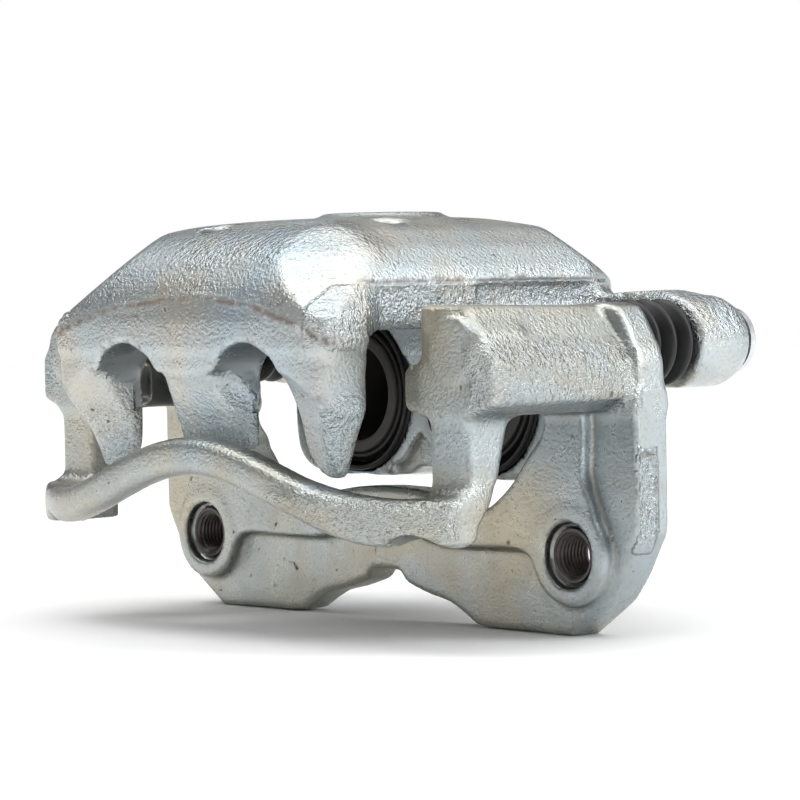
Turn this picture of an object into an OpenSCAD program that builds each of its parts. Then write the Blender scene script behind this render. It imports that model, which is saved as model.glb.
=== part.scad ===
// Floating disc-brake caliper with two pistons, on its cast bracket.
// X runs along the vehicle, Z points away from the hub, and Y points inboard.
// The origin is midway between the two mounting holes, on the face that meets the knuckle.

/* [Mounting] */
// Distance between the two mounting bolts
bolt_spacing = 150; // [146:1:154]
// Minor diameter of the M12x1.25 mounting thread
bolt_thread_d = 10.8; // [10.2:0.1:11.2]
// Thickness of the threaded mounting bosses
boss_thickness = 14; // [12:0.5:15]
// Outer radius of the mounting bosses
boss_r = 13.5; // [12:0.5:15]
// Radius of the counterbore on the outboard side of each boss
counterbore_r = 8.6; // [7:0.1:9.5]
// Depth of that counterbore
counterbore_depth = 2.4; // [1:0.1:4]

/* [Bracket] */
// Half the overall width of the bracket
bracket_half = 97.2; // [96:0.2:98]
// Height of the feet below the bolt line
foot_drop = 21.2; // [20:0.2:24]
// Top of the arms that cross the disc
arm_top = 65.5; // [64:0.5:68]
// Underside of the arms
arm_bottom = 37.5; // [36:0.5:40]
// Outboard face of the two outboard legs
leg_front = -57.6; // [-59:0.2:-57]
// Inboard face of the two outboard legs
leg_back = -42; // [-44:0.5:-40]
// Height of the tie bar's section
bar_height = 9.8; // [8.4:0.2:11]
// Thickness of the tie bar from front to back
bar_thickness = 9; // [8:0.2:10]

/* [Guide pins] */
// Distance from the middle to each guide pin
pin_x = 80; // [79:0.5:81]
// Height of the guide pins above the bolt line
pin_z = 54.4; // [53.5:0.1:55]
// Diameter of the sliding shank
pin_d = 10; // [9.6:0.1:10.4]
// Radial running clearance of the pins
pin_clearance = 0.05; // [0.02:0.01:0.1]
// Length of the pin shank outboard of the housing ear
pin_shank = 72; // [66:1:73]
// Largest outer radius of a pin boot
pin_boot_r = 11.4; // [10.5:0.1:11.8]

/* [Pistons] */
// Diameter of each piston
piston_d = 34; // [33.5:0.5:34.5]
// Distance from the middle to each piston axis
piston_x = 25.5; // [25:0.1:26.5]
// Height of the piston axes above the bolt line
piston_z = 40.7; // [40:0.1:41.5]
// Radial running clearance of the pistons
piston_clearance = 0.05; // [0.02:0.01:0.1]
// Radius of the hollow inside a piston
piston_hollow_r = 13.4; // [11:0.1:14]
// Outer radius of the piston boot
piston_boot_r = 22.2; // [22:0.1:22.4]

/* [Housing] */
// Half the width of the housing across its outer fingers
roof_half = 58.6; // [58:0.2:60]
// Highest point of the bridge
roof_top = 90.2; // [89:0.2:91]
// Outboard face of the fingers
finger_front = -81; // [-82:0.5:-80]
// Inboard face of the fingers, which pushes on the outer pad
finger_back = -66; // [-67:0.5:-65]
// Face of the cylinder block around the boots
block_front = 3; // [2:0.5:4]
// Inboard end of the cylinder block
block_back = 50; // [49:0.5:50.5]
// Radius of the clearance cut over the disc
disc_clearance_r = 150; // [140:1:165]
// Highest point of that cut
disc_clearance_top = 68.5; // [66:0.5:70]

/* [Hidden] */
$fn = 64;
bolt_x = bolt_spacing / 2;
panel_front = -9.5;
panel_back = 1;
plate_front = -10.5;
pin_r = pin_d / 2;
pin_bore_r = pin_r + pin_clearance;
pin_bore_end = -49;
ear_front = 20;
ear_web_back = 31;
ear_taper = 36;
ear_back = 42.5;
ear_r = 12.2;
ear_end_r = 9.4;
pin_thread_r = 4.6;
pin_neck_r = 4.1;
pin_head_r = 8.7;
pin_head_t = 2.8;
boot_seat_r = 7.2;
pin_shoulder = ear_front + 5;
pin_tip = pin_shoulder - pin_shank;
bushing_front = pin_tip + 3;
bushing_back = bushing_front + 18;
boot_seat_depth = 5;
end_pad_r = 8.4;
piston_r = piston_d / 2;
piston_bore_r = piston_r + piston_clearance;
piston_front = 2.2;
piston_back = 42;
bore_back = 44.5;
boot_pocket_depth = 8;
seal_front = 17;
seal_back = 20;
seal_r = piston_r + 2.8;
groove_front = 5;
groove_back = 7.5;
groove_r = piston_r - 1.4;
passage_z = piston_z;
passage_y = 46.6;
passage_r = 1.5;
plug_x = 47;
plug_r = 3;
plug_length = 6;
outboard_corner_reach = 102.2;
inboard_corner_reach = 97;
corner_slope = 52;
block_half = 54;
block_bottom = 17.2;
block_end = 34;
barrel_r = 23.5;
barrel_end_r = 21;
inlet_r = 4.5;
inlet_depth = 5.5;
inlet_boss_r = 10;
inlet_boss_back = 50;
bleeder_x = -25.5;
bleeder_z = 58;
bleeder_y = 40;
bleeder_tilt = 35;
bleeder_hole_r = 4.5;
bleeder_boss_r = 8;
window_r = 9;
window_z = 47;
tiny = 0.01;

// Extrude an outline drawn in X and Z along Y, from y0 to y1
module slab(y0, y1) {
    translate([0, y1, 0])
        rotate([90, 0, 0])
            linear_extrude(y1 - y0)
                children();
}

// Extrude an outline drawn in Y and Z along X, from -half to half
module cross_slab(half) {
    translate([-half, 0, 0])
        rotate([90, 0, 90])
            linear_extrude(2 * half)
                children();
}

// A round bar along Y, from y0 to y1, at x and z
module rod(x, z, r, y0, y1, r2 = -1) {
    translate([x, y0, z])
        rotate([-90, 0, 0])
            cylinder(r1 = r, r2 = r2 < 0 ? r : r2, h = y1 - y0);
}

// A turned ring about an axis along Y at x and z; its outline is drawn as radius and Y
module turned(x, z) {
    translate([x, 0, z])
        rotate([-90, 0, 0])
            rotate_extrude()
                children();
}

// The same shape on the right and, mirrored, on the left
module both_sides() {
    children();
    mirror([1, 0, 0])
        children();
}

// A closed outline from its right half, listed from the top of the middle line to its bottom
module mirrored_outline(half) {
    last = len(half) - 1;
    polygon(concat(half, [for (i = [last:-1:0]) [-half[i][0], half[i][1]]]));
}

// ---------- bracket ----------

module plate_outline() {
    b = bracket_half;
    mirrored_outline([
        [0, 15.6], [12, 15.2], [24, 13.4], [30, 11], [36, 9.5], [44, 10.5], [52, 15], [60, 25],
        [67, 32], [67.5, arm_bottom + 1], [b, arm_bottom + 1], [b, 10], [b - 0.4, 6],
        [b - 3.2, 1], [b - 6.2, -4.5], [b - 11.4, -11.3], [b - 17.4, -15.6], [b - 24, -20],
        [72, -foot_drop], [36.6, -foot_drop], [30.6, -17.6], [25, -15], [16.4, -13.3],
        [8, -10.8], [5.2, -7.5], [0, -7.5]
    ]);
}

// Raised band from boss to boss, with the web that runs up to each arm
module band_outline() {
    mirrored_outline([
        [0, 10], [14, 9.5], [23, 7.2], [36, 8.4], [45, 11], [54, 17.5], [60, 25], [67, 32],
        [67.5, arm_bottom + 1], [81, arm_bottom + 1], [81, 30], [80.5, 20], [84, 12],
        [bolt_x + boss_r, 0], [bolt_x, -1], [57, 1], [40, 0.5], [22, 0.6], [12, 4], [0, 5]
    ]);
}

module arm_outline() {
    polygon([
        [67, arm_bottom], [67, 60], [71, arm_top - 0.8], [84, arm_top], [89, arm_top - 3],
        [94, 54.5], [94, 41], [90.5, arm_bottom]
    ]);
}

// Flange at the inboard end of an arm
module arm_end_outline() {
    polygon([
        [67, arm_bottom], [67, 60], [71, arm_top - 0.8], [84, arm_top], [89.6, arm_top - 1.5],
        [bracket_half - 0.3, 52], [bracket_half, arm_bottom]
    ]);
}

function arch(x) = 0.5 + 0.5 * cos(180 * min(abs(x), 70) / 70);
function bow(x) = 1 - pow(abs(x) / 84, 3.5);

// Centre line of the tie bar: it rises in the middle and bows outboard
function bar_z(x) = 11.5 + 15.6 * arch(x);
function bar_y(x) = leg_front - 1.2 - 17 * bow(x);

module tie_bar() {
    steps = [-84:6:84];
    back = [84:-6:-84];
    intersection() {
        slab(-100, 0)
            polygon(concat(
                [for (x = steps) [x, bar_z(x) - bar_height / 2]],
                [for (x = back) [x, bar_z(x) + bar_height / 2]]));
        linear_extrude(60)
            polygon(concat(
                [for (x = steps) [x, bar_y(x) - bar_thickness / 2]],
                [for (x = back) [x, bar_y(x) + bar_thickness / 2]]));
    }
}

// Leg down from the end of an arm, with the tab beside the pad's place
module outboard_leg() {
    slab(leg_front, leg_back)
        polygon([
            [70.4, 30], [70.4, 38.6], [61, 38.6], [61, 50.4], [70.4, 52], [70.4, 60], [88, 60],
            [88, 44], [84.6, 38], [84.6, 19], [81.5, 12.5], [70.4, 12.5]
        ]);
}

// Foot of a leg, where the tie bar ends: left square at one end and rounded at the other
module leg_foot(corner) {
    slab(leg_front - 5, leg_back - 8)
        polygon(concat([[69, 8], [69, 15.6], [72, 16.6], [84.6, 16.6]], corner, [[71, 6.8]]));
}

module mounting_hole() {
    rod(bolt_x, 0, bolt_thread_d / 2, -boss_thickness - 1, 5);
    rod(bolt_x, 0, counterbore_r, -boss_thickness - 1, -boss_thickness + counterbore_depth);
}

module bracket() {
    color("silver")
        difference() {
            union() {
                slab(plate_front, 0)
                    intersection() {
                        plate_outline();
                        translate([-100, -30])
                            square([200, 45]);
                    }
                slab(plate_front, panel_back)
                    intersection() {
                        plate_outline();
                        both_sides()
                            translate([62, -30])
                                square([40, 80]);
                    }
                slab(-boss_thickness, panel_front)
                    band_outline();
                leg_foot([[82.6, 11.6], [79, 8.4], [75.6, 7]]);
                mirror([1, 0, 0])
                    leg_foot([[84.6, 6.8]]);
                both_sides() {
                    rod(bolt_x, 0, boss_r, -boss_thickness, 0);
                    slab(leg_front, panel_back)
                        arm_outline();
                    slab(panel_front, panel_back)
                        arm_end_outline();
                    rod(pin_x, pin_z, end_pad_r, leg_front - 0.6, leg_front + 1);
                    outboard_leg();
                }
                tie_bar();
            }
            both_sides() {
                mounting_hole();
                // The bosses' faces stand clear of the knuckle side of the panel
                rod(bolt_x, 0, boss_r + 4, 0, 5);
                rod(pin_x, pin_z, pin_bore_r, pin_bore_end, 5);
                rod(pin_x, pin_z, boot_seat_r, panel_back - boot_seat_depth, 5);
            }
        }
}

// ---------- caliper housing ----------

module roof_outline() {
    mirrored_outline([
        [0, roof_top], [14, roof_top - 0.2], [27, 88.8], [38, 85.5], [47, 80.5], [52, 75.5],
        [54, 72], [53, 71], [53.5, 60], [50, 55], [0, 55]
    ]);
}

module roof_side_outline() {
    polygon([
        [finger_front, 52], [finger_front + 0.6, 64], [finger_front + 3, 71],
        [finger_front + 8, 78.5], [finger_front + 16, 84.5], [finger_front + 28, 88],
        [finger_front + 44, 89.6], [-14, 90.2], [2, 89.9], [12, 88], [24, 85.6], [32, 82.8],
        [38, 78], [42, 71.5], [44, 64], [44, 52]
    ]);
}

// A sloping cut across one corner of the roof, facing the given direction in plan
module corner_cut(direction, reach) {
    translate([0, -14, 0])
        rotate([0, 0, direction])
            rotate([0, -corner_slope, 0])
                translate([reach, -100, -100])
                    cube([60, 200, 200]);
}

module housing_plan_outline() {
    h = roof_half;
    mirrored_outline([
        [0, 46], [30, 46], [42, 38], [50, 28], [h - 2, 12], [h, 4],
        [h, finger_front + 5], [h - 2.5, finger_front + 1], [h - 9, finger_front],
        [0, finger_front]
    ]);
}

module finger_outline() {
    difference() {
        mirrored_outline([
            [0, 64], [roof_half - 1.5, 64], [roof_half - 1.5, 42], [57, 32], [54, 23.4], [51, 21.4],
            [46, 21.4], [44, 23], [44, 29], [12, 29], [0, 29]
        ]);
        both_sides() {
            translate([piston_x, window_z])
                circle(r = window_r);
            polygon([
                [piston_x - window_r, window_z], [piston_x + window_r, window_z], [41.5, 38],
                [45, 28], [45, 10], [10, 10], [10, 30], [14, 38]
            ]);
        }
    }
}

module finger_side_outline() {
    polygon([
        [finger_back, 18], [finger_front + 8, 18], [finger_front + 6.2, 24],
        [finger_front + 2, 40], [finger_front, 50], [finger_front, 64], [finger_back, 64]
    ]);
}

// Slanted cut that thins the middle finger behind the tie bar
module middle_finger_cut() {
    cross_slab(15)
        polygon([[-90, 51], [finger_front - tiny, 51], [-72, 36], [-69.4, 31], [-69.4, 10],
                 [-90, 10]]);
}

module block_outline() {
    mirrored_outline([
        [0, 64], [46, 64], [block_half, 56], [block_half, 25], [50, 20], [43, block_bottom],
        [8, block_bottom], [4, 20], [0, 20]
    ]);
}

module housing_ear() {
    rod(pin_x, pin_z, ear_r, ear_front, ear_taper);
    rod(pin_x, pin_z, ear_r, ear_taper, ear_back, ear_end_r);
    slab(ear_front + 2, ear_web_back)
        polygon([
            [48, 48], [48, 66], [60, 67.8], [pin_x - 4.5, 68.3], [pin_x, pin_z + ear_r],
            [pin_x + 2, pin_z], [pin_x - 4, pin_z - ear_r], [66, 44]
        ]);
}

module bleeder_place() {
    translate([bleeder_x, bleeder_y, bleeder_z])
        rotate([bleeder_tilt - 90, 0, 0])
            children();
}

module caliper_bore(x) {
    rod(x, piston_z, piston_bore_r, -10, bore_back);
    rod(x, piston_z, piston_boot_r + 0.2, -10, block_front + boot_pocket_depth);
    rod(x, piston_z, seal_r, seal_front, seal_back);
}

module caliper_housing() {
    color("lightgrey")
        difference() {
            union() {
                difference() {
                    union() {
                        intersection() {
                            slab(finger_front, block_back)
                                roof_outline();
                            cross_slab(70)
                                roof_side_outline();
                            linear_extrude(120)
                                housing_plan_outline();
                        }
                        translate([0, -9, roof_top - 3])
                            cylinder(r = 14, h = 3.6);
                    }
                    for (side = [0, 1])
                        mirror([side, 0, 0]) {
                            corner_cut(-48, outboard_corner_reach);
                            corner_cut(48, inboard_corner_reach);
                        }
                    rod(0, disc_clearance_top - disc_clearance_r, disc_clearance_r,
                        finger_back, block_front);
                }
                intersection() {
                    slab(finger_front, finger_back)
                        finger_outline();
                    cross_slab(70)
                        finger_side_outline();
                    linear_extrude(120)
                        housing_plan_outline();
                }
                slab(block_front, block_end)
                    block_outline();
                both_sides() {
                    rod(piston_x, piston_z, barrel_r, block_end - 1, block_back - 5);
                    rod(piston_x, piston_z, barrel_r, block_back - 5, block_back, barrel_end_r);
                    housing_ear();
                }
                slab(block_end - 1, block_back)
                    translate([-piston_x, piston_z - 9])
                        square([2 * piston_x, 18]);
                rod(0, piston_z, inlet_boss_r, block_end - 1, inlet_boss_back);
                bleeder_place()
                    cylinder(r = bleeder_boss_r, h = 13);
            }
            middle_finger_cut();
            caliper_bore(-piston_x);
            caliper_bore(piston_x);
            both_sides() {
                rod(pin_x, pin_z, pin_thread_r, ear_front - 1, ear_back + 1);
                rod(pin_x, pin_z, boot_seat_r, ear_front - 1, ear_front + boot_seat_depth);
            }
            // Fluid way: inlet thread, cross drilling and the drillings into both bores
            rod(0, piston_z, inlet_r, inlet_boss_back - inlet_depth, inlet_boss_back + 1);
            translate([-plug_x - 10, passage_y, passage_z])
                rotate([0, 90, 0]) {
                    cylinder(r = passage_r, h = plug_x + piston_x + 10);
                    cylinder(r = plug_r, h = plug_length + 10);
                }
            both_sides()
                rod(piston_x, piston_z, passage_r, bore_back - 1, passage_y);
            bleeder_place() {
                translate([0, 0, 3])
                    cylinder(r = bleeder_hole_r, h = 20);
                translate([0, 0, -9])
                    cylinder(r = 1.5, h = 20);
            }
        }
}

// ---------- pistons and their rubber ----------

module piston(x) {
    color("dimgray")
        difference() {
            turned(x, piston_z)
                polygon([
                    [0, piston_front], [piston_r - 0.8, piston_front],
                    [piston_r, piston_front + 0.8], [piston_r, groove_front],
                    [groove_r, groove_front], [groove_r, groove_back], [piston_r, groove_back],
                    [piston_r, piston_back - 1.5], [piston_r - 1.5, piston_back],
                    [0, piston_back]
                ]);
            rod(x, piston_z, piston_hollow_r, piston_front - 1, piston_back - 6);
        }
}

module piston_seal(x) {
    color("black")
        turned(x, piston_z)
            polygon([
                [piston_r, seal_front], [seal_r, seal_front], [seal_r, seal_back],
                [piston_r, seal_back]
            ]);
}

// Folded dust boot from the pocket in the housing to the groove in the piston
module piston_boot(x) {
    color("black")
        turned(x, piston_z)
            polygon([
                [groove_r, groove_front + 0.2], [groove_r, groove_back - 0.2],
                [piston_r + 0.6, groove_back - 0.2], [piston_r + 1, 9.6],
                [piston_boot_r, 9.6], [piston_boot_r, 3.6], [piston_boot_r - 1.3, 3],
                [piston_r + 2.6, 4.6], [piston_r + 1.4, 2.8], [piston_r + 0.3, 4.2],
                [piston_r + 0.3, groove_front + 0.2]
            ]);
}

// Wire ring that holds the boot's outer bead in its pocket
module boot_ring(x) {
    color("dimgray")
        turned(x, piston_z)
            translate([piston_boot_r - 0.9, block_front - 0.65])
                circle(r = 0.7, $fn = 24);
}

// ---------- guide pins ----------

module pin_head(x) {
    difference() {
        turned(x, pin_z)
            polygon([
                [0, ear_back], [pin_head_r, ear_back], [pin_head_r, ear_back + pin_head_t - 1],
                [pin_head_r - 1, ear_back + pin_head_t], [0, ear_back + pin_head_t]
            ]);
        translate([x, ear_back + 0.7, pin_z])
            rotate([-90, 0, 0])
                cylinder(r = 4.6, h = 5, $fn = 6);
    }
}

module guide_pin() {
    color("silver") {
        rod(pin_x, pin_z, pin_r, pin_tip, pin_shoulder);
        rod(pin_x, pin_z, pin_thread_r, pin_shoulder, ear_back);
        pin_head(pin_x);
    }
}

module lock_pin() {
    color("silver") {
        turned(-pin_x, pin_z)
            polygon([
                [0, pin_tip], [pin_r, pin_tip], [pin_r, bushing_front],
                [pin_neck_r, bushing_front], [pin_neck_r, bushing_back],
                [pin_r, bushing_back], [pin_r, pin_shoulder], [0, pin_shoulder]
            ]);
        rod(-pin_x, pin_z, pin_thread_r, pin_shoulder, ear_back);
        pin_head(-pin_x);
    }
}

module lock_pin_bushing() {
    color("black")
        turned(-pin_x, pin_z)
            polygon([
                [pin_neck_r, bushing_front + 0.2], [pin_r - 0.1, bushing_front + 0.2],
                [pin_r - 0.1, bushing_back - 0.2], [pin_neck_r, bushing_back - 0.2]
            ]);
}

// Bellows between an arm and an ear; it is thin rubber, so every fold is hollow
module pin_boot(x) {
    folds = 3;
    start = panel_back + 0.5;
    fold = (ear_front - 0.5 - start) / folds;
    valley_r = pin_r + 2.4;
    wall = 1.1;
    lip_r = pin_r + 0.3;
    collar_r = boot_seat_r - 0.2;
    seat_end = boot_seat_depth - 0.2;
    outside = [for (i = [0:folds - 1]) each [
        [valley_r, start + i * fold + 0.3],
        [pin_boot_r, start + (i + 0.32) * fold],
        [pin_boot_r, start + (i + 0.68) * fold],
        [valley_r, start + (i + 1) * fold - 0.3]]];
    inside = [for (i = [len(outside) - 1:-1:0]) [outside[i][0] - wall, outside[i][1]]];
    color("black")
        turned(x, pin_z)
            polygon(concat(
                [[lip_r, panel_back - seat_end], [collar_r, panel_back - seat_end],
                 [collar_r, start]],
                outside,
                [[collar_r, ear_front - 0.5], [collar_r, ear_front + seat_end],
                 [lip_r, ear_front + seat_end], [lip_r, ear_front - 1]],
                inside,
                [[lip_r, panel_back + 1]]));
}

// ---------- hydraulics ----------

module bleeder_screw() {
    color("darkgoldenrod")
        bleeder_place()
            difference() {
                union() {
                    translate([0, 0, 3.2])
                        cylinder(r1 = 1, r2 = 3.4, h = 2.4);
                    translate([0, 0, 5.6])
                        cylinder(r = 3.4, h = 2);
                    translate([0, 0, 7.6])
                        cylinder(r = 4.4, h = 6.4);
                    translate([0, 0, 14])
                        cylinder(r = 5.2, h = 5, $fn = 6);
                    translate([0, 0, 19])
                        cylinder(r = 3, h = 6);
                    translate([0, 0, 25])
                        cylinder(r = 3.6, h = 1.6);
                }
                translate([0, 0, 8])
                    cylinder(r = 1.2, h = 20);
            }
}

module bleeder_cap() {
    color("dimgray")
        bleeder_place()
            difference() {
                union() {
                    translate([0, 0, 19.4])
                        cylinder(r = 4.9, h = 9);
                    translate([0, 0, 28.4])
                        cylinder(r1 = 4.9, r2 = 3.2, h = 1.6);
                }
                translate([0, 0, 19])
                    cylinder(r = 3.65, h = 7.8);
            }
}

module passage_plug() {
    color("darkgoldenrod")
        translate([-plug_x, passage_y, passage_z])
            rotate([0, 90, 0])
                difference() {
                    cylinder(r = plug_r, h = plug_length);
                    translate([0, 0, -1])
                        cylinder(r = 1.6, h = 4, $fn = 6);
                }
}

bracket();
caliper_housing();
piston(-piston_x);  // piston_left
piston(piston_x);  // piston_right
piston_seal(-piston_x);  // piston_seal_left
piston_seal(piston_x);  // piston_seal_right
piston_boot(-piston_x);  // piston_boot_left
piston_boot(piston_x);  // piston_boot_right
boot_ring(-piston_x);  // boot_ring_left
boot_ring(piston_x);  // boot_ring_right
guide_pin();
lock_pin();
lock_pin_bushing();
pin_boot(pin_x);  // guide_pin_boot
pin_boot(-pin_x);  // lock_pin_boot
bleeder_screw();
bleeder_cap();
passage_plug();
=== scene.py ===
import math

import bmesh
import bpy
import numpy as np
from mathutils import Matrix, Vector


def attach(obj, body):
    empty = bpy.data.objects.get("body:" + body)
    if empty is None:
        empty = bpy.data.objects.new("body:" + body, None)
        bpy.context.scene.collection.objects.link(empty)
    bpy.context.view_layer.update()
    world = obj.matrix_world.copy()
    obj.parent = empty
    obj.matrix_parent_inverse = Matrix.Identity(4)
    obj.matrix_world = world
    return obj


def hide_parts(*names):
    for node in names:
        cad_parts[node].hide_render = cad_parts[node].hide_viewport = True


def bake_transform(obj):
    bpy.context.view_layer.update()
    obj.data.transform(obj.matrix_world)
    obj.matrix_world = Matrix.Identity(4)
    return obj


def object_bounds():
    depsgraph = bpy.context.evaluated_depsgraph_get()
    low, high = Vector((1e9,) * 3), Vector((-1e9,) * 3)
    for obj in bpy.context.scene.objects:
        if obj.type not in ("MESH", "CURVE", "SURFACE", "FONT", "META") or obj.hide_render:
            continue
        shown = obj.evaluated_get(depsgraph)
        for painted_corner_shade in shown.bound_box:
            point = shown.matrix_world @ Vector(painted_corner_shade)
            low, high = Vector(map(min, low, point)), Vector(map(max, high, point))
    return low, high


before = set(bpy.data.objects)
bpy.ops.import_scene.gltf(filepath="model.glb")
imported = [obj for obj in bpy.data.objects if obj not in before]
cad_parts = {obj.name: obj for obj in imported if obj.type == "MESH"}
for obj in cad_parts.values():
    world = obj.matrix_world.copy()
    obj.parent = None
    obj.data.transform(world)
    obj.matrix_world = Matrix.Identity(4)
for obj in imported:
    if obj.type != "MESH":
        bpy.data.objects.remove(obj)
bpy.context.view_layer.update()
MM = 0.001
F4 = np.float32

# ------------------------------------------------------------------ camera
cam_data = bpy.data.cameras.new("camera")
cam_data.lens = 147.1
cam_data.sensor_width = 36.0
cam_data.clip_start = 0.02
cam = bpy.data.objects.new("camera", cam_data)
bpy.context.scene.collection.objects.link(cam)
right = Vector((0.6679, 0.7440, -0.0195))
up = Vector((-0.0113, 0.0363, 0.9993))
back = Vector((0.7442, -0.6672, 0.0326))
turn = Matrix((right, up, back)).transposed().to_4x4()
cam.matrix_world = Matrix.Translation((0.6731, -0.6072, 0.0686)) @ turn
bpy.context.scene.camera = cam


# ------------------------------------------------------------------ distance fields
def smin(a, b, k):
    h = np.maximum(k - np.abs(a - b), 0) / k
    return np.minimum(a, b) - h * h * (k * 0.25)


def smax(a, b, k):
    h = np.maximum(k - np.abs(a - b), 0) / k
    return np.maximum(a, b) + h * h * (k * 0.25)


def blended(f, k, *parts):
    out = parts[0]
    for p in parts[1:]:
        out = f(out, p, k)
    return out


def rounded(pts, n=2, cut=0.22):
    """The outline with its corners cut n times, so that it turns smoothly."""
    p = np.array(pts, float)
    for _ in range(n):
        q = np.roll(p, -1, 0)
        p = np.stack([p * (1 - cut) + q * cut, p * cut + q * (1 - cut)], 1).reshape(-1, 2)
    return p


def mirrored(half):
    return list(half) + [(-x, z) for x, z in half[::-1]]


def outline(U, V, pts):
    """Signed distance to a closed outline, negative inside, on the grid U by V."""
    p = np.array(pts, float)
    q = np.roll(p, -1, 0)
    best = np.full(np.broadcast(U, V).shape, 1e9, F4)
    inside = np.zeros(best.shape, bool)
    for (ax, ay), (bx, by) in zip(p, q):
        ex, ey = bx - ax, by - ay
        ll = ex * ex + ey * ey
        if ll < 1e-12:
            continue
        t = np.clip(((U - ax) * ex + (V - ay) * ey) / ll, 0, 1)
        best = np.minimum(best, (U - ax - ex * t) ** 2 + (V - ay - ey * t) ** 2)
        if ey:
            inside ^= ((ay > V) != (by > V)) & (U < ax + (V - ay) * ex / ey)
    return (np.where(inside, -1, 1) * np.sqrt(best)).astype(F4)


def axis(*spans):
    """Grid lines: each span is start, end and step."""
    out = []
    for a, b, h in spans:
        out.append(np.linspace(a, b, max(2, int(round((b - a) / h)) + 1))[(1 if out else 0):])
    return np.concatenate(out).astype(F4)


class Field:
    """A block of grid points, with the shapes that castings are built from."""

    def __init__(self, xs, ys, zs):
        self.xs, self.ys, self.zs = xs, ys, zs
        self.X = xs[:, None, None]
        self.Y = ys[None, :, None]
        self.Z = zs[None, None, :]

    def along_y(self, pts):
        return outline(self.xs[:, None], self.zs[None, :], pts)[:, None, :]

    def along_x(self, pts):
        return outline(self.ys[:, None], self.zs[None, :], pts)[None, :, :]

    def along_z(self, pts):
        return outline(self.xs[:, None], self.ys[None, :], pts)[:, :, None]

    def slab(self, lo, hi):
        return np.abs(self.Y - (lo + hi) / 2) - (hi - lo) / 2

    def rod(self, x, z, r):
        return np.sqrt((self.X - x) ** 2 + (self.Z - z) ** 2) - r

    def box(self, lo, hi, k=2.0):
        c = [(a + b) / 2 for a, b in zip(lo, hi)]
        h = [(b - a) / 2 for a, b in zip(lo, hi)]
        d = smax(np.abs(self.X - c[0]) - h[0], np.abs(self.Y - c[1]) - h[1], k)
        return smax(d, np.abs(self.Z - c[2]) - h[2], k)

    def both_planes(self, point, normal):
        """Distance past a plane on the right and, mirrored, past its twin on the left."""
        n = np.array(normal, float)
        n /= np.linalg.norm(n)
        return ((np.abs(self.X) - point[0]) * n[0] + (self.Y - point[1]) * n[1]
                + (self.Z - point[2]) * n[2]).astype(F4)


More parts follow.
